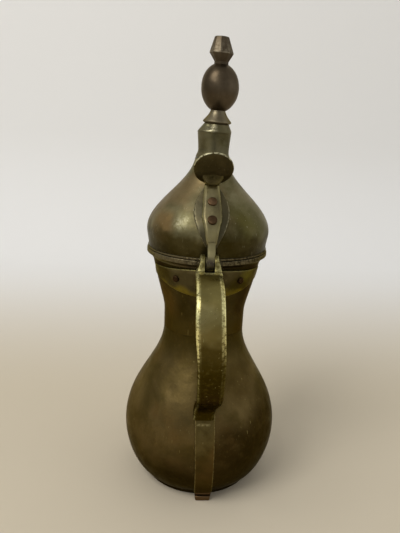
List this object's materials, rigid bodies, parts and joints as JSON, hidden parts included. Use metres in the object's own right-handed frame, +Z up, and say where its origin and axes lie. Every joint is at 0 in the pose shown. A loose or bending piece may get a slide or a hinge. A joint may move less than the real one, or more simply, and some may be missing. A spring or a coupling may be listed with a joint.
{
  "type": "dallah coffee pot",
  "caption": "Waisted metal coffee pot with a crescent beak spout, a strap handle on a neck bracket, and a hinged domed lid with a tall finial.",
  "frame": {"origin": "centre of the pot's flat base, at table level", "axes": "+Z up along the pot's axis, -Y towards the handle and hinge, +Y towards the spout, +X to the right when seen from the handle side"},
  "size_m": [0.1314, 0.2238, 0.3662],
  "materials": {
    "body_brass": "aged brown-green patina, satin",
    "neck_brass": "dark patina, satin",
    "rim_brass": "grey-brown worn edge",
    "bracket_brass": "olive-yellow brass, worn",
    "dark_copper": "dark oxidised copper",
    "handle_brass": "yellow-green brass, edges worn bright",
    "tail_brass": "brown brass, worn edges",
    "dome_brass": "grey-olive patina with brown blotches",
    "tower_brass": "dark olive patina",
    "finial_brass": "brown-grey patina, soft sheen",
    "plain_brass": "plain turned brass",
    "strap_brass": "olive brass, worn edges",
    "copper": "aged copper",
    "thumb_brass": "dark underside, worn bright rim"
  },
  "bodies": {
    "pot": {"base_plate": "body_brass", "belly_shell": "body_brass", "neck_shell": "neck_brass", "rim_ring": "rim_brass", "spout": "body_brass", "neck_bracket": "bracket_brass", "bracket_rivets": "dark_copper", "handle": "handle_brass", "hinge_pin": "rim_brass", "handle_tail": "tail_brass", "tail_rivet": "dark_copper", "tail_foot": "dark_copper"},
    "lid": {"lid_dome": "dome_brass", "lid_flange": "rim_brass", "lid_sleeve": "rim_brass", "lid_tower": "tower_brass", "tower_cap": "tower_brass", "finial_collar": "finial_brass", "finial_ball": "finial_brass", "finial_tip": "finial_brass", "finial_spindle": "plain_brass", "spindle_nut": "plain_brass", "hinge_strap": "strap_brass", "strap_plate": "strap_brass", "strap_rivets": "copper", "thumb_rest": "thumb_brass"}
  },
  "joints": [
    {"name": "lid_hinge", "type": "hinge", "parent": "pot", "child": "lid", "pos_m": [0, -0.0574, 0.2035], "axis": [1, 0, 0], "range_deg": [0, 95]}
  ]
}
